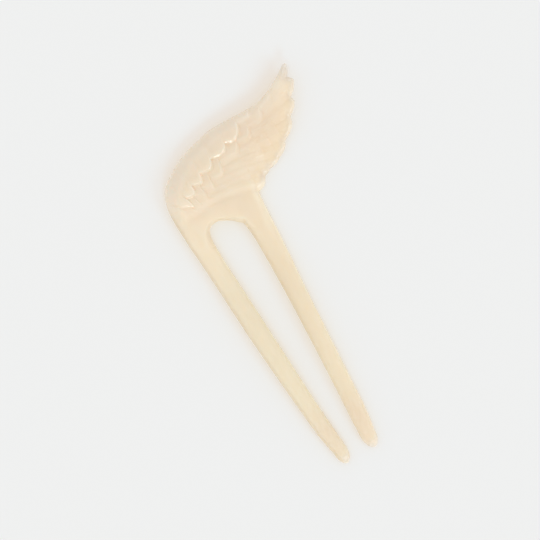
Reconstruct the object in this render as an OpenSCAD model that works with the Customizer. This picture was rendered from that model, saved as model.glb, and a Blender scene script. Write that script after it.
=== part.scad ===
// Two-pronged hair fork with a wing-shaped head, carved and polished from one
// blank of pale horn. It lies on its back with its carved face up. While the
// shape is worked out, the origin is at the top of the slot between the prongs,
// +Y runs up the middle of the fork and +X towards the wing tip.

/* [Prongs] */
// Thickness of a prong where it leaves the crown
prong_thick = 5; // [4.5:0.1:5.6]
// Thickness of a prong just before its rounded end
prong_end_thick = 3.3; // [2.8:0.1:4]
// Height that the prongs bow up off the table, halfway down
prong_bow = 0.8; // [0:0.1:1.5]
// Length of the rounded end of a prong
prong_round = 5; // [4:0.1:6]

/* [Head] */
// Height that the wing tip curls up off the table
tip_lift = 3.6; // [0:0.1:5]
// Height of the thin middle line of an edge, as a share of the thickness there
edge_share = 0.42; // [0.35:0.01:0.5]
// Height of the flat line that is left round the slot and the feather ends
edge_land = 0.3; // [0.2:0.05:0.5]

/* [Carving] */
// Height that the wing stands over the crown below it
wing_step = 0.4; // [0.3:0.05:1]
// Height of a flight feather's lower edge over the next feather
feather_step = 0.3; // [0.2:0.05:0.8]
// Height of a row of coverts over the feathers below it
covert_step = 0.5; // [0.2:0.05:0.8]
// How far the lower edge of a covert slants out towards its tip, each way
covert_slant = 1.7; // [1:0.1:2.2]

/* [Facets] */
// Rings to each length of the prongs between two sections
prong_cuts = 2; // [1:1:3]
// Rings to each length of the crown between two sections
crown_cuts = 4; // [2:1:4]
// Rings to each flight feather
feather_cuts = 6; // [4:1:7]
// Points across the carved face
face_points = 28; // [20:1:30]
// Points across the back
back_points = 9; // [6:1:10]

/* [Hidden] */

// Sections across the fork, from the end of the left prong up through the
// crown and out along the wing. Each runs from the outer edge, which is the
// wing's leading edge, to the inner edge: the slot, and then the feather tips.
// Columns: outer x, outer y, inner x, inner y, thickness at the outer edge, at
// the crest and at the inner edge, rounding of the outer and the inner edge,
// reach of the upper and of the lower coverts from the outer edge.
p0 = prong_end_thick;
p1 = prong_thick;
SECTIONS = [
    [ -7.30, -88.0,  -2.35, -88.0,  p0,  p0,  p0, 2.7, 2.7, -2, -2],
    [ -8.80, -80.0,  -2.95, -80.0, mix(p0, p1, 0.2), mix(p0, p1, 0.2), mix(p0, p1, 0.2), 3.1, 3.1, -2, -2],
    [ -9.92, -68.0,  -3.70, -68.0, mix(p0, p1, 0.4), mix(p0, p1, 0.4), mix(p0, p1, 0.4), 3.3, 3.3, -2, -2],
    [-11.20, -52.0,  -4.35, -52.0, mix(p0, p1, 0.6), mix(p0, p1, 0.6), mix(p0, p1, 0.6), 3.6, 3.6, -2, -2],
    [-12.25, -36.0,  -5.00, -36.0, mix(p0, p1, 0.8), mix(p0, p1, 0.8), mix(p0, p1, 0.8), 3.8, 3.8, -2, -2],
    [-13.02, -20.0,  -5.75, -20.0, mix(p0, p1, 0.9), mix(p0, p1, 0.9), mix(p0, p1, 0.9), 3.8, 3.8, -2, -2],
    [-13.60,  -9.0,  -6.20,  -9.5,  p1,  p1,  p1, 3.8, 3.6, -2, -2],
    [-14.00,  -3.5,  -6.10,  -4.0, 5.1, 5.2, 5.0, 3.8, 3.0, -2, -2],
    [-14.25,   2.0,  -5.50,  -1.6, 4.9, 5.4, 5.0, 4.0, 2.6, 1, 1],
    [-14.35,   7.0,  -4.40,  -0.3, 4.6, 5.9, 5.1, 4.4, 2.4, 3.4, 5.2],
    [-14.10,  12.0,  -3.00,   0.15, 4.5, 6.2, 5.2, 4.8, 2.4, 5.6, 9.2],
    [-12.60,  16.9,  -1.60,   0.2, 4.4, 6.4, 5.2, 5.0, 2.4, 7.6, 11.7],
    [ -9.70,  20.2,  -0.40,  -0.1, 4.3, 6.4, 5.2, 5.0, 2.4, 9.6, 13.4],
    [ -5.50,  23.0,   0.90,  -0.75, 4.2, 6.3, 5.2, 5.0, 2.4, 10.5, 14.5],
    [ -1.00,  25.3,   2.20,  -1.5, 4.1, 6.2, 5.1, 4.8, 2.4, 10.8, 15.5],
    [  3.50,  26.7,   3.40,  -2.4, 3.9, 6.0, 5.1, 4.6, 2.4, 10.9, 16.0],
    [  7.00,  27.5,   4.60,  -3.5, 3.8, 5.8, 5.1, 4.4, 2.4, 10.2, 15.8],
    [  9.50,  28.1,   6.00,  -5.0, 3.7, 5.6, 5.0, 4.2, 2.4, 9.7, 15.0],
    [ 12.00,  28.5,   8.50,  -3.0, 3.6, 5.5, 5.0, 4.0, 2.4, 9.4, 14.0],
    [ 14.50,  28.6,  12.00,  -0.9, 3.5, 5.3, 4.9, 3.8, 2.2, 9.1, 13.2],
    [ 17.00,  28.5,  15.90,   1.9, 3.4, 5.1, 3.9, 3.6, 1.8, 8.2, 12.2],
    [ 20.50,  28.35, 19.30,   3.3, 3.2, 4.8, 3.0, 3.4, 1.4, 6.0, 10.6],
    [ 24.00,  28.2,  22.80,   6.4, 3.1, 4.6, 2.5, 3.2, 1.2, 4.0, 8.9],
    [ 27.00,  28.1,  27.30,   7.9, 3.0, 4.3, 2.2, 3.0, 1.2, 2.3, 7.1],
    [ 30.00,  28.3,  31.80,  11.1, 2.9, 4.0, 2.0, 2.8, 1.1, 0.8, 5.2],
    [ 33.00,  28.9,  37.70,  16.7, 2.7, 3.6, 1.9, 2.5, 1.1, -1,  3.4],
    [ 36.20,  30.2,  41.90,  22.3, 2.4, 3.1, 1.8, 2.2, 1.0, -2,  1.2],
    [ 39.90,  32.0,  45.40,  28.9, 2.1, 2.5, 1.7, 1.8, 0.9, -2, -1],
    [ 44.30,  34.9,  45.60,  34.6, 1.7, 1.8, 1.6, 1.2, 0.8, -2, -2]];
first_crown_row = 7;
slot_corner_row = 17;
neck_row = 20;
tip_row = len(SECTIONS) - 1;

// Flight feathers, from the crown to the wing tip. Columns: the notch between
// the feather's end and the next one's, x and y, the root of the line that
// divides the two, x and y, and how far that line bows towards the leading edge.
FLIGHT = [
    [20.6,  5.6, -0.5,  9.0,  0.8],
    [23.3,  6.9,  3.0, 10.5,  0.9],
    [27.7,  8.4,  6.0, 12.5,  1.0],
    [32.2, 12.3,  9.0, 15.0,  0.7],
    [38.1, 18.6, 13.0, 18.0, -0.2],
    [41.4, 24.0, 18.5, 20.8, -0.5],
    [43.7, 30.5, 25.0, 24.2, -0.6]];
// Share of a feather's stretch of the edge that its end takes, past its tip
notch_share = 0.22;
// How far a feather's lower edge bulges, as a share of its length
vane_bulge = 0.08;

// Wing's lower edge over the crown, a parabola: its top, its fall and its width
wing_foot = [-1, 5.2];
wing_foot_fall = 0.0113;
wing_foot_width = 2.2;

// Middle of each of the upper coverts, counted in sections
COVERTS = [8.6, 10, 11.2, 12.5, 13.8, 15.2, 17.6, 20.4, 22, 24, 25.8, 27.6];
covert_bevel = 1.2;     // width of the bevel along a covert's edge
tip_squareness = 1.8;   // 2 for a round tip, less for a more pointed one
covert_base = 0.2;      // height of the bed under the coverts, over the wing's step

// Sections of the right prong, from its root at the crown down to its end.
// Columns: inner x, inner y, outer x, outer y, thickness, rounding.
RIGHT_PRONG = [
    [6.45,  -8.0, 15.40,  -3.2, p1, 3.2],
    [6.62, -12.5, 15.00, -10.0, p1, 3.6],
    [6.58, -20.0, 14.35, -19.5, mix(p0, p1, 0.9), 3.8],
    [6.15, -36.0, 13.00, -36.0, mix(p0, p1, 0.8), 3.5],
    [5.42, -52.0, 11.90, -52.0, mix(p0, p1, 0.6), 3.3],
    [4.55, -68.0, 10.82, -68.0, mix(p0, p1, 0.4), 3.1],
    [3.80, -80.0,  9.98, -80.0, mix(p0, p1, 0.2), 3.0],
    [3.40, -88.0,  8.80, -88.0, p0, 2.6]];

crest_share = 0.36;     // crest's place between the two edges of the wing
lift_way = [0.8, 0.6];  // direction in which the wing lifts off the table
lift_from = 22;         // distance that way at which it starts
lift_to = 57;           // distance that way at which it is complete
bow_from = -2;          // ends of the prongs' bow, along the fork
bow_to = -90;
crowding = 0.35;        // crowding of the points towards the edges
end_angles = [84, 62, 42, 20];  // sections of a prong's rounded end, from its point
wing_end = [0.25, 0.3];         // wing tip's point, past the middle of its last section
no_rounding = 0.01;             // radius that leaves an edge as it is

function mix(a, b, t) = a + (b - a) * t;
function ramp(lo, hi, v) = let (t = min(1, max(0, (v - lo) / (hi - lo)))) t * t * (3 - 2 * t);
function crowd(s) = s - crowding * sin(360 * s) / (2 * PI);

// Smooth curve through the rows of a table, t counted in rows
function row_at(rows, t) =
    let (i = min(len(rows) - 2, floor(t)), f = t - i,
         a = rows[max(0, i - 1)], b = rows[i],
         c = rows[i + 1], d = rows[min(len(rows) - 1, i + 2)])
    b + f * 0.5 * ((c - a) + f * ((2 * a - 5 * b + 4 * c - d) + f * (3 * b - a - 3 * c + d)));

// Feather edge: the short end of one feather, then the long lower edge of the next
function bulged(a, b, s) =
    let (way = b - a) mix(a, b, s) + vane_bulge * 4 * s * (1 - s) * [way.y, -way.x];
function tip_of(i) = [SECTIONS[i][2], SECTIONS[i][3]];
function feather_edge(t) =
    let (i = min(tip_row - 1, floor(t)), f = t - i, n = i - neck_row - 1,
         notch = n < 0 ? tip_of(i) : [FLIGHT[n][0], FLIGHT[n][1]],
         share = n < 0 ? 0 : notch_share)
    f < share ? mix(tip_of(i), notch, f / share)
              : bulged(notch, tip_of(i + 1), (f - share) / (1 - share));

// Inner edge: up the left prong and round the slot, straight over the root of
// the right prong, then the feathers
slot_edge = concat([for (i = [0:slot_corner_row]) tip_of(i)], [for (r = RIGHT_PRONG) [r[0], r[1]]]);
function inner_edge(t) =
    t <= slot_corner_row ? row_at(slot_edge, t) :
    t > neck_row ? feather_edge(t)
                 : mix(tip_of(slot_corner_row), tip_of(neck_row),
                       (t - slot_corner_row) / (neck_row - slot_corner_row));

// One section of the fork: outer point, inner point, then the table's other columns
function section(t) =
    let (r = row_at(SECTIONS, t))
    [[r[0], r[1]], inner_edge(t), [for (k = [4:10]) r[k]], t];

// Rounded end of a prong: sections on half an ellipse past the last one
function round_end(outer, inner, rest, t) = [for (a = end_angles)
    let (c = (outer + inner) / 2 - [0, prong_round * sin(a)], h = (inner - outer) / 2 * cos(a))
    [c - h, c + h, rest, t]];

function stops(lo, hi, cuts) = [for (i = [0:(hi - lo) * cuts - 1]) lo + i / cuts];
function feather_stops(i) = concat(
    [for (j = [0:1]) i + notch_share * j / 2],
    [for (j = [0:feather_cuts - 3]) i + mix(notch_share, 1, j / (feather_cuts - 2))]);

left_end = section(0);
stations = concat(
    round_end(left_end[0], left_end[1], left_end[2], 0),
    [for (t = stops(0, first_crown_row, prong_cuts)) section(t)],
    [for (t = stops(first_crown_row, neck_row + 1, crown_cuts)) section(t)],
    [for (i = [neck_row + 1:tip_row - 1]) for (t = feather_stops(i)) section(t)],
    [section(tip_row)]);

slot_corner = [for (i = [0:len(stations) - 1]) if (stations[i][3] == slot_corner_row) i][0];
neck = [for (i = [0:len(stations) - 1]) if (stations[i][3] == neck_row) i][0];

// Right prong: sections that start at the joining line and end rounded
join_cells = neck - slot_corner;
right_last = RIGHT_PRONG[len(RIGHT_PRONG) - 1];
right_ends = round_end([right_last[0], right_last[1]], [right_last[2], right_last[3]],
                       [right_last[4], right_last[5]], 0);
right_stations = concat(
    [for (t = stops(0, len(RIGHT_PRONG) - 1, prong_cuts))
        let (r = row_at(RIGHT_PRONG, t)) [[r[0], r[1]], [r[2], r[3]], [r[4], r[5]]]],
    [[[right_last[0], right_last[1]], [right_last[2], right_last[3]], [right_last[4], right_last[5]]]],
    [for (i = [len(end_angles) - 1:-1:0]) right_ends[i]]);
right_count = len(right_stations);

// The outline in two runs, both from the left prong's end to the wing tip
function prong_point(s) = (s[0] + s[1]) / 2 - [0, prong_round * (1 - sin(end_angles[0]))];
left_point = prong_point(stations[0]);
right_point = prong_point(right_stations[right_count - 1]);
wing_point = (stations[len(stations) - 1][0] + stations[len(stations) - 1][1]) / 2 + wing_end;
outer_run = concat([left_point], [for (s = stations) s[0]], [wing_point]);
inner_run = concat([left_point],
    [for (i = [0:slot_corner]) stations[i][1]], [for (s = right_stations) s[0]], [right_point],
    [for (i = [right_count - 1:-1:0]) right_stations[i][1]],
    [for (i = [neck:len(stations) - 1]) stations[i][1]], [wing_point]);

function gap_to(p, run) = min([for (i = [0:len(run) - 2])
    let (a = run[i], e = run[i + 1] - a, h = min(1, max(0, (p - a) * e / (e * e))))
    norm(p - a - h * e)]);

// Underside: flat under the crown, bowed along the prongs, lifted at the wing tip
function back(p) =
    prong_bow * pow(sin(180 * min(1, max(0, (p.y - bow_from) / (bow_to - bow_from)))), 2)
    + tip_lift * ramp(lift_from, lift_to, p * lift_way);

// Carving: the lines between the flight feathers, and where a point lies among them
function foot_line(x) = wing_foot.y - wing_foot_fall * pow(x - wing_foot.x, 2);
function feather_line(i, x) =
    i < 0 ? foot_line(x) :
    i >= len(FLIGHT) ? feather_line(len(FLIGHT) - 1, x) + 6 :
    let (f = FLIGHT[i], s = (x - f[2]) / (f[0] - f[2]))
    mix(f[3], f[1], s) + f[4] * 4 * s * (1 - s);
function feather_height(p) =
    let (above = [for (i = [-1:len(FLIGHT) - 1]) if (p.y >= feather_line(i, p.x)) i],
         i = len(above) ? max(above) : -1,
         low = feather_line(i, p.x), high = feather_line(i + 1, p.x),
         f = min(1, max(0, (p.y - low) / max(0.5, high - low))))
    feather_step * (1 - f) * ramp(-0.02, 0.16, f);

// Edge of a row of coverts: each runs out along a slant and turns back round its tip
function covert_edge(t, shift) =
    let (cusps = [for (i = [0:len(COVERTS) - 2])
                      shift ? COVERTS[i] : (COVERTS[i] + COVERTS[i + 1]) / 2],
         i = max(concat([0], [for (k = [0:len(cusps) - 2]) if (t >= cusps[k]) k])),
         c = 2 * min(1, max(0, (t - cusps[i]) / (cusps[i + 1] - cusps[i]))) - 1,
         left = pow(1 - pow(max(0, c), tip_squareness), 1 / tip_squareness))
    covert_slant * (c - 2 * (1 - left));
function under_coverts(height, row, t, gap, reach) =
    reach <= -1 ? height :
    mix(height, covert_base + row * covert_step,
        ramp(0, covert_bevel, reach + covert_edge(t, row == 1) - gap));

function carving(p, t, gap, upper, lower) =
    let (wing = t > first_crown_row ? ramp(0, wing_foot_width, p.y - foot_line(p.x)) : 0)
    wing == 0 ? 0 :
    wing * (wing_step
            + under_coverts(under_coverts(feather_height(p), 1, t, gap, lower), 2, t, gap, upper));

// Thickness across a section: outer edge, crest, inner edge
function thickness(v, s) =
    s < crest_share ? mix(v[0], v[1], sin(90 * s / crest_share))
                    : mix(v[2], v[1], 0.5 + 0.5 * cos(180 * (s - crest_share) / (1 - crest_share)));

function round_over(gap, r) = sqrt(max(0, 1 - pow(1 - min(1, gap / r), 2)));

// Heights of the two faces over a point
function faces(p, thick, gap_a, gap_b, r_a, r_b, relief) =
    let (low = back(p), edge = low + edge_share * thick, land = edge_land / 2,
         over = round_over(gap_a, r_a) * round_over(gap_b, r_b))
    [edge + land + (low + thick + relief - edge - land) * over,
     edge - land - (edge - land - low) * over];

function across(s, n) = [for (k = [0:n]) crowd(k / n)];
face_ways = across(0, face_points);
back_ways = across(0, back_points);

function point_on(s, w) =
    let (p = mix(s[0], s[1], w), v = s[2], thick = thickness(v, w),
         gap_a = gap_to(p, outer_run), gap_b = gap_to(p, inner_run))
    [p, faces(p, thick, gap_a, gap_b, v[3], v[4], carving(p, s[3], gap_a, v[5], v[6]))];

// Ring of a section: over the face to the inner edge, then back under it
ring_size = face_points + 1 + back_points;
function ring(s) = concat(
    [for (w = face_ways) let (q = point_on(s, w)) [q[0].x, q[0].y, w == 0 ? (q[1][0] + q[1][1]) / 2 : q[1][0]]],
    [for (k = [back_points:-1:1]) let (q = point_on(s, back_ways[k])) [q[0].x, q[0].y, q[1][1]]]);

join_inner = stations[slot_corner][1];
join_outer = stations[neck][1];
join_ways = [for (i = [slot_corner:neck])
    norm(stations[i][1] - join_inner) / norm(join_outer - join_inner)];
function right_point_on(s, w) =
    let (p = mix(s[0], s[1], w), gap = gap_to(p, inner_run))
    [p, faces(p, s[2][0], gap, gap, s[2][1], no_rounding, 0)];
function right_ring(s) = concat(
    [for (w = join_ways) let (q = right_point_on(s, w)) [q[0].x, q[0].y, q[1][0]]],
    [for (k = [join_cells:-1:0]) let (q = right_point_on(s, join_ways[k])) [q[0].x, q[0].y, q[1][1]]]);

function edge_height(p, thick) = back(p) + edge_share * thick;
function end_point(p, thick) = [p.x, p.y, edge_height(p, thick)];

main_rings = [for (s = stations) ring(s)];
right_rings = [for (s = right_stations) right_ring(s)];
right_base = len(stations) * ring_size;
right_ring_size = 2 * (join_cells + 1);
ends_base = right_base + right_count * right_ring_size;

// Points, with the origin moved to the middle of the fork's box
outline_x = [for (p = concat(outer_run, inner_run)) p.x];
outline_y = [for (p = concat(outer_run, inner_run)) p.y];
middle = [(min(outline_x) + max(outline_x)) / 2, (min(outline_y) + max(outline_y)) / 2, 0];
points = concat(
    [for (r = main_rings) for (p = r) p - middle],
    [for (r = right_rings) for (p = r) p - middle],
    [end_point(left_point, p0) - middle, end_point(right_point, p0) - middle,
     end_point(wing_point, SECTIONS[tip_row][5]) - middle]);

// Index of a point: in the main run, and in the right prong, whose first ring
// is the opening that the main run leaves between the slot's corner and the neck
function at(i, k) = i * ring_size + k % ring_size;
function right_at(j, k) =
    let (m = k % right_ring_size)
    j > 0 ? right_base + (j - 1) * right_ring_size + m :
    m <= join_cells ? at(slot_corner + m, face_points)
                    : at(neck - (m - join_cells - 1), face_points + 1);

function split(a, b, c, d) = [[a, b, c], [a, c, d]];
main_faces = [for (i = [0:len(stations) - 2]) for (k = [0:ring_size - 1])
    if (k != face_points || i < slot_corner || i >= neck)
        for (f = split(at(i, k), at(i + 1, k), at(i + 1, k + 1), at(i, k + 1))) f];
right_faces = [for (j = [0:right_count - 1]) for (k = [0:right_ring_size - 1])
    for (f = split(right_at(j, k), right_at(j, k + 1), right_at(j + 1, k + 1), right_at(j + 1, k))) f];
end_faces = concat(
    [for (k = [0:ring_size - 1]) [at(0, k), at(0, k + 1), ends_base]],
    [for (k = [0:right_ring_size - 1])
        [right_at(right_count, k), right_at(right_count, k + 1), ends_base + 1]],
    [for (k = [0:ring_size - 1])
        [at(len(stations) - 1, k + 1), at(len(stations) - 1, k), ends_base + 2]]);

module carved_fork() {
    color("moccasin")
        polyhedron(points = points, faces = concat(main_faces, right_faces, end_faces), convexity = 6);
}

carved_fork();
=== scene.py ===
import math

import bpy
import numpy as np
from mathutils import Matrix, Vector


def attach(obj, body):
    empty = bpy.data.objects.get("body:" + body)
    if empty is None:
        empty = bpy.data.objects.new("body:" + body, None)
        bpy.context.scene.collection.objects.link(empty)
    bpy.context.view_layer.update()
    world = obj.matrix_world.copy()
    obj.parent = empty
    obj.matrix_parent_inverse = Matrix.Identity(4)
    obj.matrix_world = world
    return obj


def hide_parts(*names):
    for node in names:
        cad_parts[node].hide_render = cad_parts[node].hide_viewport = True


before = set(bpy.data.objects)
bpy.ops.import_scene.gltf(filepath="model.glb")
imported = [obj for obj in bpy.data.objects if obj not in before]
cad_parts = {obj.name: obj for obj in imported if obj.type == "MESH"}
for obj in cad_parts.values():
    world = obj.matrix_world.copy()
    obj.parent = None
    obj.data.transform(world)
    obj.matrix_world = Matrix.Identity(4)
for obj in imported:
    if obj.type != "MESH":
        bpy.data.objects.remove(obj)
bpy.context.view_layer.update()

# The blank. A flat piece of pale horn, about six millimetres thick, is sawn to
# the outline of a fork with a wing for a head. Sizes are in millimetres from the
# top of the slot, with +Y up the middle of the fork and +X to the wing tip.
PRONG_THICK = 5.0
PRONG_END_THICK = 3.3


def mix(a, b, t):
    return a + (b - a) * t


def ramp(low, high, v):
    """Smooth share, 0 up to low and 1 from high on"""
    t = np.clip((v - low) / (high - low), 0, 1)
    return t * t * (3 - 2 * t)


def prong_at(share):
    """Thickness of a prong, at this share of the way up from its end"""
    return mix(PRONG_END_THICK, PRONG_THICK, share)


def even(share):
    """The same thickness at the two edges and at the crest of a prong"""
    return prong_at(share), prong_at(share), prong_at(share)


# Sections from the end of the left prong up through the crown and out along
# the wing. Columns: outer x, outer y, inner x, inner y, thickness at the outer
# edge, at the crest and at the inner edge, rounding of the outer and the inner
# edge, reach of the small and of the large coverts from the outer edge.
SECTIONS = np.array([
    (-7.30, -88.0, -2.35, -88.0, *even(0.0), 2.7, 2.7, -2, -2),
    (-8.80, -80.0, -2.95, -80.0, *even(0.2), 3.1, 3.1, -2, -2),
    (-9.92, -68.0, -3.70, -68.0, *even(0.4), 3.3, 3.3, -2, -2),
    (-11.20, -52.0, -4.35, -52.0, *even(0.6), 3.6, 3.6, -2, -2),
    (-12.25, -36.0, -5.00, -36.0, *even(0.8), 3.8, 3.8, -2, -2),
    (-13.02, -20.0, -5.75, -20.0, *even(0.9), 3.8, 3.8, -2, -2),
    (-13.60, -9.0, -6.20, -9.5, *even(1.0), 3.8, 3.6, -2, -2),
    (-14.00, -3.5, -6.10, -4.0, 5.1, 5.2, 5.0, 3.8, 2.6, -2, -2),
    (-14.25, 2.0, -5.50, -1.6, 4.9, 5.4, 5.0, 4.0, 1.9, 1, 1),
    (-14.35, 7.0, -4.40, -0.3, 4.6, 5.9, 5.1, 4.4, 1.5, 3.4, 5.2),
    (-14.10, 12.0, -3.00, 0.15, 4.5, 6.2, 5.2, 4.8, 1.4, 5.6, 9.2),
    (-12.60, 16.9, -1.60, 0.2, 4.4, 6.4, 5.2, 5.0, 1.4, 7.6, 11.7),
    (-9.70, 20.2, -0.40, -0.1, 4.3, 6.4, 5.2, 5.0, 1.4, 9.6, 13.4),
    (-5.50, 23.0, 0.90, -0.75, 4.2, 6.3, 5.2, 5.0, 1.4, 10.5, 14.5),
    (-1.00, 25.3, 2.20, -1.5, 4.1, 6.2, 5.1, 4.8, 1.4, 10.8, 15.5),
    (3.50, 26.7, 3.40, -2.4, 3.9, 6.0, 5.1, 4.6, 1.4, 10.9, 16.0),
    (7.00, 27.5, 4.60, -3.5, 3.8, 5.8, 5.1, 4.4, 1.5, 10.2, 15.8),
    (9.50, 28.1, 6.00, -5.0, 3.7, 5.6, 5.0, 4.2, 1.8, 9.7, 15.0),
    (12.00, 28.5, 8.50, -3.0, 3.6, 5.5, 5.0, 4.0, 2.0, 9.4, 14.0),
    (14.50, 28.6, 12.00, -0.9, 3.5, 5.3, 4.9, 3.8, 2.2, 9.1, 13.2),
    (17.00, 28.5, 15.90, 1.9, 3.4, 5.1, 3.9, 3.6, 1.8, 8.2, 12.2),
    (20.50, 28.35, 19.30, 3.3, 3.2, 4.8, 3.0, 3.4, 1.4, 6.0, 10.6),
    (24.00, 28.2, 22.80, 6.4, 3.1, 4.6, 2.5, 3.2, 1.2, 4.0, 8.9),
    (27.00, 28.1, 27.30, 7.9, 3.0, 4.3, 2.2, 3.0, 1.2, 2.3, 7.1),
    (30.00, 28.3, 31.80, 11.1, 2.9, 4.0, 2.0, 2.8, 1.1, 0.8, 5.2),
    (33.00, 28.9, 37.70, 16.7, 2.7, 3.6, 1.9, 2.5, 1.1, -1, 3.4),
    (36.20, 30.2, 41.90, 22.3, 2.4, 3.1, 1.8, 2.2, 1.0, -2, 1.2),
    (39.90, 32.0, 45.40, 28.9, 2.1, 2.5, 1.7, 1.8, 0.9, -2, -1),
    (44.30, 34.9, 45.60, 34.6, 1.7, 1.8, 1.6, 1.2, 0.8, -2, -2),
])
OUTER, INNER = slice(0, 2), slice(2, 4)
THICK_OUTER, THICK_CREST, THICK_INNER = 4, 5, 6
ROUND_OUTER, ROUND_INNER = 7, 8
SMALL_REACH, LARGE_REACH = 9, 10
FIRST_CROWN_ROW = 7
SLOT_CORNER_ROW = 17
NECK_ROW = 20
TIP_ROW = len(SECTIONS) - 1
WING_END = (0.25, 0.3)

# Right prong, from its root at the crown down to its end. Columns: x and y of
# its slot side, x and y of its right side, thickness, rounding.
RIGHT_PRONG = np.array([
    (6.45, -8.0, 15.40, -3.2, prong_at(1.0), 3.2),
    (6.62, -12.5, 15.00, -10.0, prong_at(1.0), 3.6),
    (6.58, -20.0, 14.35, -19.5, prong_at(0.9), 3.8),
    (6.15, -36.0, 13.00, -36.0, prong_at(0.8), 3.5),
    (5.42, -52.0, 11.90, -52.0, prong_at(0.6), 3.3),
    (4.55, -68.0, 10.82, -68.0, prong_at(0.4), 3.1),
    (3.80, -80.0, 9.98, -80.0, prong_at(0.2), 3.0),
    (3.40, -88.0, 8.80, -88.0, prong_at(0.0), 2.6),
])
SLOT_SIDE, RIGHT_SIDE = slice(0, 2), slice(2, 4)
RIGHT_THICK, RIGHT_ROUND = slice(4, 5), slice(5, 6)
PRONG_END_LENGTH = 5.0
PRONG_END_RINGS = 14

# Flight feathers, from the crown to the wing tip. Columns: the notch between
# the feather's end and the next one's, x and y, the root of the line that
# divides the two, x and y, and how far that line bows to the leading edge.
FLIGHT = np.array([
    (20.6, 5.6, -0.5, 9.0, 0.8),
    (23.3, 6.9, 3.0, 10.5, 0.9),
    (27.7, 8.4, 6.0, 12.5, 1.0),
    (32.2, 12.3, 9.0, 15.0, 0.7),
    (38.1, 18.6, 13.0, 18.0, -0.2),
    (41.4, 24.0, 18.5, 20.8, -0.5),
    (43.7, 30.5, 25.0, 24.2, -0.6),
])
NOTCH, ROOT = slice(0, 2), slice(2, 4)
NOTCH_SHARE = 0.22
VANE_BULGE = 0.08
END_SOFTENING = 0.28
SOFTENING_FADE = 1.5

# Sections are cut finer where there is more carving, and those at the root of
# the right prong are drawn together towards its two sides.
PRONG_CUTS, CROWN_CUTS, WING_CUTS = 11, 17, 22
ROOT_CROWDING = 0.85


def row_at(rows, t):
    """Smooth curve through the rows of a table, t counted in rows"""
    i = np.minimum(len(rows) - 2, np.floor(t).astype(int))
    f = (t - i)[:, None]
    a = rows[np.maximum(0, i - 1)]
    b = rows[i]
    c = rows[i + 1]
    d = rows[np.minimum(len(rows) - 1, i + 2)]
    square = 2 * a - 5 * b + 4 * c - d
    cube = 3 * b - a - 3 * c + d
    return b + f * 0.5 * ((c - a) + f * (square + f * cube))


def soft_line(off, width):
    """Height of a soft line: 1 along its middle, fading to both sides"""
    return np.exp(-((off / width) ** 2))


def feather_edge(t):
    """Edge of the feather ends: a short end, then the next feather's long lower edge"""
    i = min(TIP_ROW - 1, int(t))
    f = t - i
    tip = SECTIONS[i, INNER]
    next_tip = SECTIONS[i + 1, INNER]
    notch, share = (FLIGHT[i - NECK_ROW - 1, NOTCH], NOTCH_SHARE) if i > NECK_ROW else (tip, 0)
    if f < share:
        return mix(tip, notch, f / share)
    s = (f - share) / (1 - share)
    way = next_tip - notch
    return mix(notch, next_tip, s) + VANE_BULGE * 4 * s * (1 - s) * np.array([way[1], -way[0]])


def inner_edge(t):
    """Inner edge of the sections: side and top of the slot, root of the right prong, feather ends"""
    slot = np.vstack([SECTIONS[:SLOT_CORNER_ROW + 1, INNER], RIGHT_PRONG[:, SLOT_SIDE]])
    points = row_at(slot, np.minimum(t, SLOT_CORNER_ROW))
    root = (t > SLOT_CORNER_ROW) & (t <= NECK_ROW)
    share = (t[root] - SLOT_CORNER_ROW) / (NECK_ROW - SLOT_CORNER_ROW)
    crowded = mix(share, (1 - np.cos(np.pi * share)) / 2, ROOT_CROWDING)
    points[root] = mix(SECTIONS[SLOT_CORNER_ROW, INNER], SECTIONS[NECK_ROW, INNER], crowded[:, None])
    wing = np.nonzero(t > NECK_ROW)[0]
    sharp = np.array([feather_edge(v) for v in t[wing]])
    # The feather ends are softened with a file, which leaves the notches between them narrow.
    run = np.concatenate([[0], np.cumsum(np.linalg.norm(np.diff(sharp, axis=0), axis=1))])
    step = np.gradient(run)
    for k, place in enumerate(run):
        weight = soft_line(run - place, END_SOFTENING) * step
        room = min(1.0, place / SOFTENING_FADE, (run[-1] - place) / SOFTENING_FADE)
        points[wing[k]] = mix(sharp[k], weight @ sharp / weight.sum(), room)
    return points


def round_end(outer, inner):
    """Rounded end of a prong: outer and inner points from near its tip upwards"""
    angles = np.radians(np.linspace(87, 6, PRONG_END_RINGS))[:, None]
    centre = (outer + inner) / 2 - np.hstack([0 * angles, PRONG_END_LENGTH * np.sin(angles)])
    half = (inner - outer) / 2 * np.cos(angles)
    return centre - half, centre + half


def stops(low, high, cuts):
    return low + np.arange((high - low) * cuts) / cuts


station = np.concatenate([
    stops(0, FIRST_CROWN_ROW, PRONG_CUTS),
    stops(FIRST_CROWN_ROW, NECK_ROW, CROWN_CUTS),
    stops(NECK_ROW, TIP_ROW, WING_CUTS),
    [TIP_ROW],
])
rows = row_at(SECTIONS, station)
outer_points = rows[:, OUTER]
inner_points = inner_edge(station)
end_outer, end_inner = round_end(outer_points[0], inner_points[0])
station = np.concatenate([np.zeros(PRONG_END_RINGS), station])
rows = np.vstack([np.repeat(rows[:1], PRONG_END_RINGS, axis=0), rows])
outer_points = np.vstack([end_outer, outer_points])
inner_points = np.vstack([end_inner, inner_points])
corner = int(np.nonzero(station == SLOT_CORNER_ROW)[0][0])
neck = int(np.nonzero(station == NECK_ROW)[0][0])

right_rows = row_at(RIGHT_PRONG, stops(0, len(RIGHT_PRONG) - 1, PRONG_CUTS))
right_rows = np.vstack([right_rows, RIGHT_PRONG[-1:]])
right_low, right_high = round_end(RIGHT_PRONG[-1, SLOT_SIDE], RIGHT_PRONG[-1, RIGHT_SIDE])
right_inner = np.vstack([right_rows[:, SLOT_SIDE], right_low[::-1]])
right_outer = np.vstack([right_rows[:, RIGHT_SIDE], right_high[::-1]])
right_rows = np.vstack([right_rows, np.repeat(right_rows[-1:], PRONG_END_RINGS, axis=0)])

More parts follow.
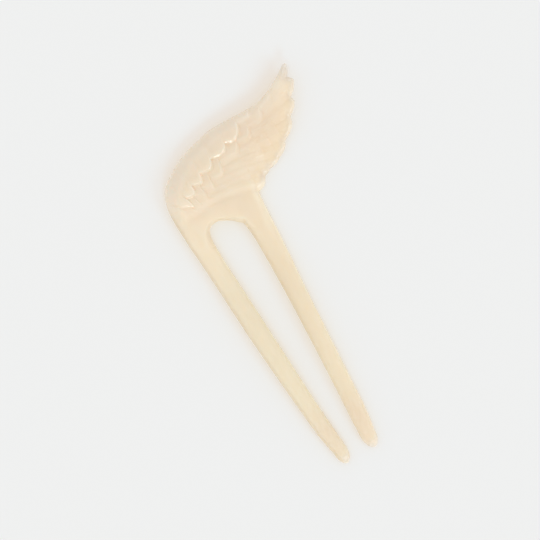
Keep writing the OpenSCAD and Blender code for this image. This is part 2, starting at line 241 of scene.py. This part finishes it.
prong_end = (0, PRONG_END_LENGTH)
left_point = (SECTIONS[0, OUTER] + SECTIONS[0, INNER]) / 2 - prong_end
right_point = (RIGHT_PRONG[-1, SLOT_SIDE] + RIGHT_PRONG[-1, RIGHT_SIDE]) / 2 - prong_end
wing_point = (outer_points[-1] + inner_points[-1]) / 2 + WING_END
outer_run = np.vstack([left_point, outer_points, wing_point])
slot_run = np.vstack([left_point, inner_points[:corner + 1], right_inner, right_point])
wing_run = np.vstack([right_point, right_outer[::-1], inner_points[neck:], wing_point])
whole_run = np.vstack([outer_run, slot_run, wing_run])
middle = (whole_run.min(axis=0) + whole_run.max(axis=0)) / 2

# The faces. The maker leaves the back flat under the crown, bows the prongs a
# little for grip, curls the wing tip up, and then works every edge over with a
# file and scraper until it is round.
PRONG_BOW = 0.8
BOW_FROM, BOW_TO = -2, -90
TIP_LIFT = 3.6
LIFT_WAY = np.array([0.8, 0.6])
LIFT_FROM, LIFT_TO = 22, 57
# The crest lies at this share of the way from the outer to the inner edge.
CREST_SHARE = 0.36
# The widest line of every edge lies at this share of the thickness, on a narrow land.
EDGE_SHARE = 0.42
EDGE_LAND = 0.1
HAND_WAVER = 0.035
WAVES = 14
POINTS_AT_A_TIME = 3000


def gap_to(points, run):
    """Distance from each point to a run of the outline"""
    start = run[:-1]
    way = run[1:] - start
    length = np.maximum((way * way).sum(axis=1), 1e-12)
    gaps = np.empty(len(points))
    for i in range(0, len(points), POINTS_AT_A_TIME):
        to = points[i:i + POINTS_AT_A_TIME, None, :] - start
        share = np.clip((to * way).sum(axis=2) / length, 0, 1)
        off = to - share[..., None] * way
        gaps[i:i + POINTS_AT_A_TIME] = np.sqrt((off * off).sum(axis=2).min(axis=1))
    return gaps


def back_height(p):
    """Height of the back: the bow of the prongs and the lift of the wing tip"""
    along = np.clip((p[:, 1] - BOW_FROM) / (BOW_TO - BOW_FROM), 0, 1)
    lift = TIP_LIFT * ramp(LIFT_FROM, LIFT_TO, p @ LIFT_WAY)
    return PRONG_BOW * np.sin(np.pi * along) ** 2 + lift


def round_over(gap, radius):
    return np.sqrt(np.clip(1 - (1 - np.minimum(1, gap / radius)) ** 2, 0, 1))


def thickness(row, s):
    """Thickness across a section: outer edge, crest, inner edge"""
    climb = np.sin(np.pi / 2 * np.minimum(1, s / CREST_SHARE))
    rise = mix(row[:, THICK_OUTER], row[:, THICK_CREST], climb)
    fall = 0.5 + 0.5 * np.cos(np.pi * np.maximum(0, s - CREST_SHARE) / (1 - CREST_SHARE))
    return np.where(s < CREST_SHARE, rise, mix(row[:, THICK_INNER], row[:, THICK_CREST], fall))


def waver(p):
    """Slight unevenness that a hand-held scraper leaves"""
    chance = np.random.default_rng(12)
    total = np.zeros(len(p))
    for _ in range(WAVES):
        way = chance.normal(size=2)
        way *= chance.uniform(0.35, 1.1) / np.linalg.norm(way)
        total += np.sin(p @ way + chance.uniform(0, 6.28)) / WAVES
    return HAND_WAVER * 2 * total


# The carved wing. It stands over the crown on a curved step. Eight long flight
# feathers overlap like shingles, and two rows of short coverts lie over their
# roots, each with a bevelled lower edge and a round tip. All have fine shafts.
WING_FOOT = (-1, 5.2)
WING_FOOT_FALL = 0.0113
WING_STEP, WING_STEP_WIDTH = 0.4, 3
FOOT_GROOVE, FOOT_GROOVE_AT, FOOT_GROOVE_WIDTH = 0.03, -0.1, 0.8

FIRST_ROOT = (-10, 5)
LAST_FEATHER_WIDTH = 6
LEAST_WIDTH = 0.5
FEATHER_STEP = 0.22
VANE_ARCH = 0.08
# A vane rises from its lower line over this width, and over more towards the wing tip.
LIP_WIDTH, LIP_GAIN, LIP_GAIN_OVER = 2.9, 0.8, (22, 34)
SHAFT, SHAFT_WIDTH = 0.022, 0.2
SHAFT_FROM, SHAFT_GAIN, SHAFT_LENGTH = 0.4, 0.2, 30
SIDE_GROOVE, SIDE_GROOVE_AT, SIDE_GROOVE_WIDTH = 0.018, 0.5, 0.22
LINE_GROOVE, LINE_GROOVE_WIDTH = 0.02, 0.3
# Barbs fade in over these distances from the lines, the shaft and a bevel, and
# over these shares of the way to a covert's side. They stop this far up a covert.
CLEAR_LOW, CLEAR_HIGH, CLEAR_SHAFT = (0.25, 0.7), (0.15, 0.5), (0.1, 0.3)
CLEAR_BEVEL, CLEAR_SIDE, BARBS_END = (0, 0.4), (0.97, 0.8), (3.5, 5.5)

# Small coverts, from the crown to the wing tip. Columns: middle, counted in
# sections, and width of the bevel along the lower edge.
COVERTS = np.array([
    (8.6, 1.9),
    (10, 2.2),
    (11.2, 0.75),
    (12.5, 0.52),
    (13.8, 0.7),
    (15.2, 0.78),
    (17.6, 1.0),
    (20.4, 1.1),
    (22, 1.7),
    (24, 1.7),
    (25.8, 1.7),
    (27.6, 1.7),
])
LARGE_BEVEL = 1.9
BEVEL_FLATNESS = 0.8
COVERT_LEVEL = WING_STEP + 0.03
LARGE_STEP, SMALL_STEP = 0.36, 0.6
COVERT_SLANT = 1.7
TIP_SQUARENESS = 1.8
PROUD_EDGE, PROUD_LAP, PROUD_OVER = 0.08, 0.05, (1.2, 4.5)
CREASE, CREASE_WIDTH = 0.035, 0.24
COVERT_SHAFT, COVERT_SHAFT_AT, COVERT_SHAFT_WIDTH = 0.018, 2.0, 0.22
# Where the carving, its steps and its forms begin over the left prong, and where
# the groove along its foot ends at the neck, all counted in sections. The steps
# also begin this many millimetres over the foot.
CARVING_FROM = (6.9, 8.2)
STEPS_FROM = (7.5, 13)
STEPS_OVER_FOOT = (0.5, 7)
FORM_FROM = (8.5, 11.5)
GROOVE_END = (21.2, 20.2)


def feather_lines(x):
    """Heights up the fork of the lines between the feathers, and their slopes"""
    lines = [WING_FOOT[1] - WING_FOOT_FALL * (x - WING_FOOT[0]) ** 2]
    slopes = [-2 * WING_FOOT_FALL * (x - WING_FOOT[0])]
    for notch_x, notch_y, root_x, root_y, bow in FLIGHT:
        s = (x - root_x) / (notch_x - root_x)
        lines.append(mix(root_y, notch_y, s) + bow * 4 * s * (1 - s))
        slopes.append((notch_y - root_y + bow * 4 * (1 - 2 * s)) / (notch_x - root_x))
    return np.array(lines + [lines[-1] + LAST_FEATHER_WIDTH]), np.array(slopes + [slopes[-1]])


def flight_feathers(p):
    """Relief of the flight feathers, and each point's place on its vane"""
    x, y = p.T
    lines, slopes = feather_lines(x)
    over = y >= lines[:-1]
    i = np.where(over.any(axis=0), len(over) - 1 - np.argmax(over[::-1], axis=0), 0)
    every = np.arange(len(p))
    low, high = lines[i, every], lines[i + 1, every]
    square = 1 / np.sqrt(1 + slopes[i, every] ** 2)
    f = np.clip((y - low) / np.maximum(LEAST_WIDTH, high - low), 0, 1)
    from_low, from_high = (y - low) * square, (high - y) * square
    root = np.vstack([FIRST_ROOT, FLIGHT[:, ROOT]])[i]
    along = np.hypot(x - root[:, 0], y - root[:, 1])
    shaft_share = SHAFT_FROM + SHAFT_GAIN * np.clip(along / SHAFT_LENGTH, 0, 1)
    from_shaft = (y - mix(low, high, shaft_share)) * square
    beside = np.abs(from_shaft)
    ridge = SHAFT * soft_line(from_shaft, SHAFT_WIDTH)
    ridge = ridge - SIDE_GROOVE * soft_line(beside - SIDE_GROOVE_AT, SIDE_GROOVE_WIDTH)
    lip = ramp(0, 1, from_low / (LIP_WIDTH + LIP_GAIN * ramp(*LIP_GAIN_OVER, x)))
    near_lines = soft_line(from_low, LINE_GROOVE_WIDTH) + soft_line(from_high, LINE_GROOVE_WIDTH)
    vane = FEATHER_STEP * (1 - f) + VANE_ARCH * np.sin(np.pi * f) + ridge
    clear = ramp(*CLEAR_LOW, from_low) * ramp(*CLEAR_HIGH, from_high) * ramp(*CLEAR_SHAFT, beside)
    return lip * vane - LINE_GROOVE * near_lines, along, from_shaft, clear


def covert_row(t, gap, reach, shifted):
    """A row of coverts: distance inside the row's edge, and each point's place on a covert"""
    middles = COVERTS[:, 0]
    cusps = middles if shifted else (middles[1:] + middles[:-1]) / 2
    i = np.clip(np.searchsorted(cusps, t, side="right") - 1, 0, len(cusps) - 2)
    ends = row_at(SECTIONS, cusps)
    way = ends[:, INNER] - ends[:, OUTER]
    way = way / np.linalg.norm(way, axis=1)[:, None]
    rim = ends[:, OUTER] + way * np.maximum(0, ends[:, SMALL_REACH])[:, None]
    half = np.linalg.norm(np.diff(rim, axis=0), axis=1)[i] / 2
    c = 2 * np.clip((t - cusps[i]) / (cusps[i + 1] - cusps[i]), 0, 1) - 1
    tip = np.maximum(0, c)
    left = (1 - tip ** TIP_SQUARENESS) ** (1 / TIP_SQUARENESS)
    fall = (tip / np.maximum(0.3, left)) ** (TIP_SQUARENESS - 1)
    lean = COVERT_SLANT / half * (1 - 2 * fall)
    inside = reach + COVERT_SLANT * (c - 2 * (1 - left)) - gap
    return inside / np.sqrt(1 + lean * lean), c, half


def covert_bevel(t):
    """Width of the bevel on the small covert that each point lies on"""
    middles, widths = COVERTS.T
    i = np.clip(np.searchsorted(middles, t) - 1, 0, len(COVERTS) - 2)
    share = (t - middles[i]) / (middles[i + 1] - middles[i])
    return mix(widths[i], widths[i + 1], ramp(0.35, 0.65, share))


def covert_form(inside, c, half):
    """Relief of the coverts themselves: proud edge, lapped sides, a crease between, a shaft"""
    near = 1 - ramp(*PROUD_OVER, inside)
    proud = PROUD_EDGE * near + PROUD_LAP * c * (1 - ramp(0.8, 1, np.abs(c)))
    crease = CREASE * near * soft_line((1 - np.abs(c)) * half, CREASE_WIDTH)
    shaft = COVERT_SHAFT * soft_line(inside - COVERT_SHAFT_AT, COVERT_SHAFT_WIDTH)
    return proud - crease + shaft * (1 - ramp(0.1, 0.6, c))


def carve(p, t, gap, reach_small, reach_large):
    """Height of the carving over the crown, and each point's place on a vane"""
    lines, slopes = feather_lines(p[:, 0])
    over_foot = (p[:, 1] - lines[0]) / np.sqrt(1 + slopes[0] ** 2)
    wing = ramp(0, WING_STEP_WIDTH, over_foot)
    groove = FOOT_GROOVE * soft_line(over_foot - FOOT_GROOVE_AT, FOOT_GROOVE_WIDTH)
    relief, along, across, clear = flight_feathers(p)
    relief = relief + WING_STEP
    vane = np.column_stack([along, across, clear])
    level = COVERT_LEVEL
    stepped = ramp(*STEPS_OVER_FOOT, over_foot) * ramp(*STEPS_FROM, t)
    for reach, shifted, step, bevel in (
        (reach_large, True, LARGE_STEP, LARGE_BEVEL),
        (reach_small, False, SMALL_STEP, covert_bevel(t)),
    ):
        inside, c, half = covert_row(t, gap, reach, shifted)
        u = np.clip(inside / bevel, 0, 1)
        rise = np.where(reach > -1, mix(ramp(0, 1, u), u, BEVEL_FLATNESS), 0)
        level = level + step * stepped
        form = covert_form(inside, c, half) * ramp(*FORM_FROM, t)
        relief = mix(relief, level + form * rise, rise)
        shown = rise > 0.5
        near = 1 - ramp(*BARBS_END, inside)
        open_face = ramp(*CLEAR_BEVEL, inside - bevel) * ramp(*CLEAR_SIDE, np.abs(c)) * near
        own = np.column_stack([c * half, inside - COVERT_SHAFT_AT, open_face])
        vane[shown] = own[shown]
        vane[:, 2] *= np.where(shown, 1, 1 - ramp(0, 0.3, rise))
    begun = ramp(*CARVING_FROM, t)
    vane[:, 2] *= wing * begun
    return wing * begun * relief - groove * begun * ramp(*GROOVE_END, t), vane


# The solid. Rings of points run over the carved face and back under it, station
# by station, and the right prong grows from the opening that they leave between
# the slot's corner and the neck of the wing.
FACE_POINTS, FACE_EDGE_POINTS = 146, 12
BACK_POINTS, BACK_EDGE_POINTS = 24, 8
EDGE_WIDTH, EDGE_MOST = 1.6, 0.3
RIGHT_SETTLES = 9
FAR = 1e3


def across_ways(length, count, edge_points):
    """Shares across a section of this length, drawn together at its two edges"""
    edge = min(EDGE_WIDTH, EDGE_MOST * length) / length
    near = edge * (np.arange(edge_points) / edge_points) ** 2
    between = np.linspace(edge, 1 - edge, count + 1 - 2 * edge_points)
    return np.concatenate([near, between, 1 - near[::-1]])


def surface(p, gap_outer, thick, round_outer, round_inner, relief):
    """Heights of the carved face and of the back over each point"""
    low = back_height(p)
    edge = low + EDGE_SHARE * thick
    over = (
        round_over(gap_outer, round_outer)
        * round_over(gap_to(p, slot_run), round_inner)
        * round_over(gap_to(p, wing_run), round_inner)
    )
    top = edge + EDGE_LAND / 2 + (low + thick + relief + waver(p) - edge - EDGE_LAND / 2) * over
    return top, edge - EDGE_LAND / 2 - (edge - EDGE_LAND / 2 - low) * over


lengths = np.linalg.norm(inner_points - outer_points, axis=1)
smooth_lengths = np.linalg.norm(rows[:, INNER] - outer_points, axis=1)
# Out on the wing the crest keeps its place however deep the notches cut in.
crest_scale = np.where(station > NECK_ROW, lengths / smooth_lengths, 1)


def main_points(ways):
    """Points, heights and vane places over every section, at shares ways[station]"""
    columns = ways.shape[1]
    p = mix(outer_points[:, None, :], inner_points[:, None, :], ways[..., None]).reshape(-1, 2)
    row = np.repeat(rows, columns, axis=0)
    gap_outer = gap_to(p, outer_run)
    relief, vane = carve(
        p, np.repeat(station, columns), gap_outer, row[:, SMALL_REACH], row[:, LARGE_REACH]
    )
    thick = thickness(row, (ways * crest_scale[:, None]).ravel())
    top, low = surface(p, gap_outer, thick, row[:, ROUND_OUTER], row[:, ROUND_INNER], relief)
    return p, top, low, vane


face_ways = np.array([across_ways(v, FACE_POINTS, FACE_EDGE_POINTS) for v in lengths])
back_ways = np.array([across_ways(v, BACK_POINTS, BACK_EDGE_POINTS) for v in lengths])
face_p, face_top, _, face_vane = main_points(face_ways)
back_p, _, back_low, _ = main_points(back_ways)
count = len(station)
face_z = face_top.reshape(count, -1)
back_z = back_low.reshape(count, -1)
face_z[:, 0] = (face_z[:, 0] + back_z[:, 0]) / 2
face_grid = np.dstack([face_p.reshape(count, -1, 2), face_z])
back_grid = np.dstack([back_p.reshape(count, -1, 2), back_z])
rings = np.concatenate([face_grid, back_grid[:, :0:-1]], axis=1)
ring_size = rings.shape[1]
face_vane = face_vane.reshape(count, -1, 3)
ring_vanes = np.concatenate([face_vane, np.zeros((count, BACK_POINTS, 3))], axis=1)

join = slice(corner, neck + 1)
join_cells = neck - corner
join_way = np.linalg.norm(inner_points[join] - inner_points[corner], axis=1)
join_way = join_way / join_way[-1]
right_p = mix(right_inner[:, None, :], right_outer[:, None, :], join_way[None, :, None])
settle = ramp(0, RIGHT_SETTLES, np.linalg.norm(right_p - inner_points[join][None], axis=2))
right_thick = mix(rows[join, THICK_INNER][None], right_rows[:, RIGHT_THICK], settle).ravel()
right_round = mix(rows[join, ROUND_INNER][None], right_rows[:, RIGHT_ROUND], settle).ravel()
right_top, right_under = surface(right_p.reshape(-1, 2), FAR, right_thick, FAR, right_round, 0)
right_top = np.dstack([right_p, right_top.reshape(right_p.shape[:2])])
right_under = np.dstack([right_p, right_under.reshape(right_p.shape[:2])])
right_rings = np.concatenate([right_top, right_under[:, ::-1]], axis=1)
right_count, right_ring_size = right_rings.shape[:2]
right_base = count * ring_size
ends_base = right_base + right_count * right_ring_size


def end_point(p, thick):
    """Point on the widest line of the edge, which closes a prong or the wing tip"""
    return np.array([p[0], p[1], back_height(np.array([p]))[0] + EDGE_SHARE * thick])


ends = np.array([
    end_point(left_point, PRONG_END_THICK),
    end_point(right_point, PRONG_END_THICK),
    end_point(wing_point, SECTIONS[-1, THICK_CREST]),
])
points = np.vstack([rings.reshape(-1, 3), right_rings.reshape(-1, 3), ends])
points[:, :2] -= middle
vanes = np.vstack([ring_vanes.reshape(-1, 3), np.zeros((len(points) - right_base, 3))])


def at(i, k):
    return i * ring_size + k % ring_size


def right_at(j, k):
    """Point k of ring j of the right prong, whose first ring is the opening's edge"""
    m = k % right_ring_size
    if j > 0:
        return right_base + (j - 1) * right_ring_size + m
    if m <= join_cells:
        return at(corner + m, FACE_POINTS)
    return at(neck - (m - join_cells - 1), FACE_POINTS + 1)


polygons = []
for i in range(count - 1):
    for k in range(ring_size):
        if k != FACE_POINTS or not corner <= i < neck:
            polygons.append((at(i, k), at(i, k + 1), at(i + 1, k + 1), at(i + 1, k)))
for j in range(right_count):
    for k in range(right_ring_size):
        polygons.append((right_at(j, k), right_at(j + 1, k), right_at(j + 1, k + 1), right_at(j, k + 1)))
for k in range(ring_size):
    polygons.append((ends_base, at(0, k + 1), at(0, k)))
    polygons.append((ends_base + 2, at(count - 1, k), at(count - 1, k + 1)))
for k in range(right_ring_size):
    polygons.append((ends_base + 1, right_at(right_count, k + 1), right_at(right_count, k)))

mesh = bpy.data.meshes.new("carved_horn_fork")
mesh.from_pydata((points * 0.001).tolist(), [], polygons)
mesh.polygons.foreach_set("use_smooth", np.ones(len(mesh.polygons), bool))
mesh.update()
fork = bpy.data.objects.new("carved_horn_fork", mesh)
bpy.context.scene.collection.objects.link(fork)
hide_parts("carved_fork")
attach(fork, "root")

# The finish. Blond horn is creamy and lets light into its surface. Its layers
# run along the fork as faint cloudy streaks. Polishing leaves a soft gloss that
# wears off at the prong ends, the wing tip and the top rim of the slot. Painted
# shade darkens the colour at those places, along the feather ends and along the
# left side of each prong.
LEFT_SIDE_POINTS = 140
LEFT_SHADE_BAND = 1.5


def paint(name, *shares):
    """Keep three numbers at every point of the mesh, for the shader to read"""
    layer = mesh.attributes.new(name, "FLOAT_VECTOR", "POINT")
    layer.data.foreach_set("vector", np.column_stack(shares).astype(np.float32).ravel())


flat = points[:, :2] + middle
x, y = flat.T
# Painted shade along the left side of each prong, which faces away from the lamps; weaker on the right
# prong and fading down it
left_side = outer_points[:PRONG_END_RINGS + LEFT_SIDE_POINTS]
left_gap = np.minimum(gap_to(flat, left_side), gap_to(flat, right_inner))
left_strength = np.where(x < 0, 1, 0.7 * ramp(-70, -40, y))
feather_ends = np.vstack([inner_points[neck:], wing_point])
# How far along its feather a point lies, how far from the shaft, and how clear of every edge
paint("vane", *vanes.T)
# The prongs between crown and ends, the leading edge of the wing, the outer wing
paint(
    "tone",
    ramp(-4, -30, y) * ramp(-100, -76, y),
    ramp(9, 1, gap_to(flat, outer_run)) * ramp(6, 16, y),
    ramp(12, 42, flat @ LIFT_WAY),
)
# Painted shade along the left side of each prong and the top rim of the slot, and at the wing tip and
# prong ends, which are also worn dull
paint(
    "edge",
    ramp(LEFT_SHADE_BAND, 0.3, left_gap) * ramp(13, 7, y) * left_strength,
    ramp(1.9, 1.2, gap_to(flat, slot_run)) * ramp(-9, -3, y),
    np.maximum(ramp(49, 57, flat @ LIFT_WAY), 0.9 * ramp(-88.8, -93, y)),
)
# The left prong's tint, the end part of both prongs, and painted shade along the rim of the feather ends
paint(
    "tint",
    ramp(1, -3, x) * ramp(-6, -24, y),
    ramp(-66, -82, y),
    ramp(3, 0.6, gap_to(flat, feather_ends)) * ramp(1.5, 5, y),
)


class Value:
    """A shader socket that can be used in sums"""

    def __init__(self, nodes, socket):
        self.nodes = nodes
        self.socket = socket

    def sum(self, operation, *others):
        node = self.nodes.add("ShaderNodeMath", {"operation": operation}, [self, *others])
        return node.out(0)

    def __add__(self, other):
        return self.sum("ADD", other)

    def __sub__(self, other):
        return self.sum("SUBTRACT", other)

    def __rsub__(self, other):
        return self.nodes.add("ShaderNodeMath", {"operation": "SUBTRACT"}, [other, self]).out(0)

    def __mul__(self, other):
        return self.sum("MULTIPLY", other)

    __radd__ = __add__
    __rmul__ = __mul__


class Node:
    """A shader node, whose outputs are taken as values"""

    def __init__(self, nodes, node):
        self.nodes = nodes
        self.node = node

    def out(self, name):
        return Value(self.nodes, self.node.outputs[name])


# Places of the sockets of a Mix node that mixes colours
MIX_FACTOR, MIX_A, MIX_B, MIX_COLOUR = 0, 6, 7, 2


class Nodes:
    """The shader tree of one material"""

    def __init__(self, name):
        self.material = bpy.data.materials.new(name)
        self.material.use_nodes = True
        self.tree = self.material.node_tree
        self.tree.nodes.clear()

    def add(self, kind, settings=None, values=()):
        node = self.tree.nodes.new(kind)
        for name, value in (settings or {}).items():
            setattr(node, name, value)
        named = values.items() if isinstance(values, dict) else enumerate(values)
        for name, value in named:
            if isinstance(value, Value):
                self.tree.links.new(value.socket, node.inputs[name])
            else:
                node.inputs[name].default_value = value
        return Node(self, node)

    def noise(self, vector, scale, detail=3, roughness=0.5):
        values = {"Vector": vector, "Scale": scale, "Detail": detail, "Roughness": roughness}
        return self.add("ShaderNodeTexNoise", {}, values).out("Fac")

    def blend(self, factor, a, b):
        node = self.add("ShaderNodeMix", {"data_type": "RGBA"}, {MIX_FACTOR: factor, MIX_A: a, MIX_B: b})
        return node.out(MIX_COLOUR)

    def painted(self, name):
        """The three numbers that the mesh keeps under this name"""
        vector = self.add("ShaderNodeAttribute", {"attribute_name": name}).out("Vector")
        parts = self.add("ShaderNodeSeparateXYZ", {}, [vector])
        return parts.out("X"), parts.out("Y"), parts.out("Z")


# Noises are scaled in cycles to a metre, and drawn out along the fork for the streaks.
STREAK = (1.0, 0.22, 1.0)
BARB_SPACING, BARB_ALONG, BARB_ACROSS = 0.52, 0.8, 0.75

horn = Nodes("polished_blond_horn")
spot = horn.add("ShaderNodeTexCoord").out("Object")
streaked = horn.add("ShaderNodeVectorMath", {"operation": "MULTIPLY"}, [spot, STREAK]).out(0)
cloud = horn.noise(streaked, 160, 4, 0.55)
fine_cloud = horn.noise(streaked, 520, 3, 0.6)
patch = horn.noise(spot, 55, 2)
grain = horn.noise(spot, 2600, 2)
along, across, clear = horn.painted("vane")
prongs, leading_edge, outer_wing = horn.painted("tone")
painted_shade_left_sides, dull_shaded_slot_rim, worn_shaded_tips = horn.painted("edge")
left_prong, prong_ends, shaded_wing_rim = horn.painted("tint")

cream = horn.blend(cloud, (0.774, 0.665, 0.503, 1), (0.822, 0.746, 0.606, 1))
# Tones, each laid over those before. Columns: where it lies, its strength, red,
# green and blue. The last four are painted shade.
for where, strength, *colour in (
    (patch, 0.5, 0.803, 0.694, 0.536),
    (prongs, 0.5, 0.72, 0.63, 0.475),
    (outer_wing, 0.6, 0.71, 0.60, 0.46),
    (leading_edge, 0.5, 0.83, 0.75, 0.66),
    (left_prong, 0.25, 0.745, 0.72, 0.58),
    (prong_ends, 0.27, 0.69, 0.54, 0.44),
    # painted shade: the wing tip and prong ends, which are also worn dull
    (worn_shaded_tips, 0.65, 0.535, 0.50, 0.47),
    # painted shade: the rim along the feather ends
    (shaded_wing_rim, 0.5, 0.61, 0.54, 0.465),
    # painted shade: the top rim of the slot, which is also rougher
    (dull_shaded_slot_rim, 0.35, 0.62, 0.52, 0.37),
    # painted shade: the left side of each prong
    (painted_shade_left_sides, 0.5, 0.62, 0.52, 0.37),
):
    cream = horn.blend(where * strength, cream, (*colour, 1))

leaning = along * BARB_ALONG - across.sum("ABSOLUTE") * BARB_ACROSS
barbs = (leaning * (math.tau / BARB_SPACING)).sum("SINE")
height = barbs * clear * 0.5 + grain * 0.06
bump = horn.add("ShaderNodeBump", {}, {"Strength": 0.25, "Distance": 0.00006, "Height": height}).out(0)
gloss = horn.add(
    "ShaderNodeBsdfPrincipled",
    {},
    {
        "Base Color": cream,
        "Roughness": fine_cloud * 0.08 + 0.12 + dull_shaded_slot_rim * 0.3 + worn_shaded_tips * 0.35,
        "IOR": 1.54,
        "Subsurface Weight": 1.0,
        "Subsurface Radius": (1.0, 0.88, 0.76),
        "Subsurface Scale": 0.0065,
        "Normal": bump,
    },
)
horn.add("ShaderNodeOutputMaterial", {}, {"Surface": gloss.out(0)})
mesh.materials.append(horn.material)

# The table and the light. The fork lies on a thin sheet whose own colour leans
# to blue and which glows warm by itself, a painted glow that keeps the shade
# beside the fork warm as if light came through the horn. One wide soft lamp
# stands low at the lower right, a smaller one below, in pale surroundings.
TABLE_SIZE = 6
TABLE_HEIGHT = -0.00005
# The photograph's right side and its top, in the frame of the fork
PHOTO_RIGHT = Vector((0.8625, -0.506, 0))
PHOTO_UP = Vector((0.506, 0.8625, 0))

bpy.ops.mesh.primitive_plane_add(size=TABLE_SIZE, location=(0, 0, TABLE_HEIGHT))
table = bpy.context.object
table.name = "pale_table"
paper = Nodes("paper_with_painted_glow")
paper_glow_shader = paper.add(
    "ShaderNodeBsdfPrincipled",
    {},
    {
        "Base Color": (0.155, 0.40, 0.59, 1),
        "Roughness": 0.9,
        # painted glow: warm emission on the sheet
        "Emission Color": (0.691, 0.444, 0.240, 1),
        "Emission Strength": 1.0,
    },
)
paper.add("ShaderNodeOutputMaterial", {}, {"Surface": paper_glow_shader.out(0)})
table.data.materials.append(paper.material)


def lamp_from(name, azimuth, height, energy, width, colour):
    """Lamp at an azimuth, counted from the photograph's right side, a height and a width in degrees"""
    turn, rise = math.radians(azimuth), math.radians(height)
    level = PHOTO_RIGHT * math.cos(turn) + PHOTO_UP * math.sin(turn)
    to_lamp = level * math.cos(rise) + Vector((0, 0, math.sin(rise)))
    lamp = bpy.data.lights.new(name, "SUN")
    lamp.energy = energy
    lamp.angle = math.radians(width)
    lamp.color = colour
    holder = bpy.data.objects.new(name, lamp)
    holder.rotation_mode = "QUATERNION"
    holder.rotation_quaternion = to_lamp.to_track_quat("Z", "Y")
    bpy.context.scene.collection.objects.link(holder)


lamp_from("soft_key", -28, 35, 0.5, 20, (1, 0.98, 0.95))
lamp_from("small_glint", -74, 38, 0.45, 14, (1, 1, 1))

world = bpy.data.worlds.new("pale_room")
world.use_nodes = True
world.node_tree.nodes["Background"].inputs["Color"].default_value = (0.98, 0.99, 1, 1)
world.node_tree.nodes["Background"].inputs["Strength"].default_value = 0.88
bpy.context.scene.world = world
bpy.context.scene.view_settings.view_transform = "Standard"

# The camera looks straight down at a place between the prongs. The photograph is
# 540 pixels wide, and each shows 0.34 mm at half the thickness of the fork.
PHOTO_SIDE = 540
PIXEL = 0.00034
LOOK_AT = Vector((-0.01003, 0.00599, 0.0025))
camera = bpy.data.cameras.new("camera")
camera.sensor_width = 36
camera.lens = 120
view = bpy.data.objects.new("camera", camera)
view.location = LOOK_AT + Vector((0, 0, PHOTO_SIDE * PIXEL * camera.lens / camera.sensor_width))
view.rotation_euler = (0, 0, math.atan2(PHOTO_RIGHT.y, PHOTO_RIGHT.x))
bpy.context.scene.collection.objects.link(view)
bpy.context.scene.camera = view
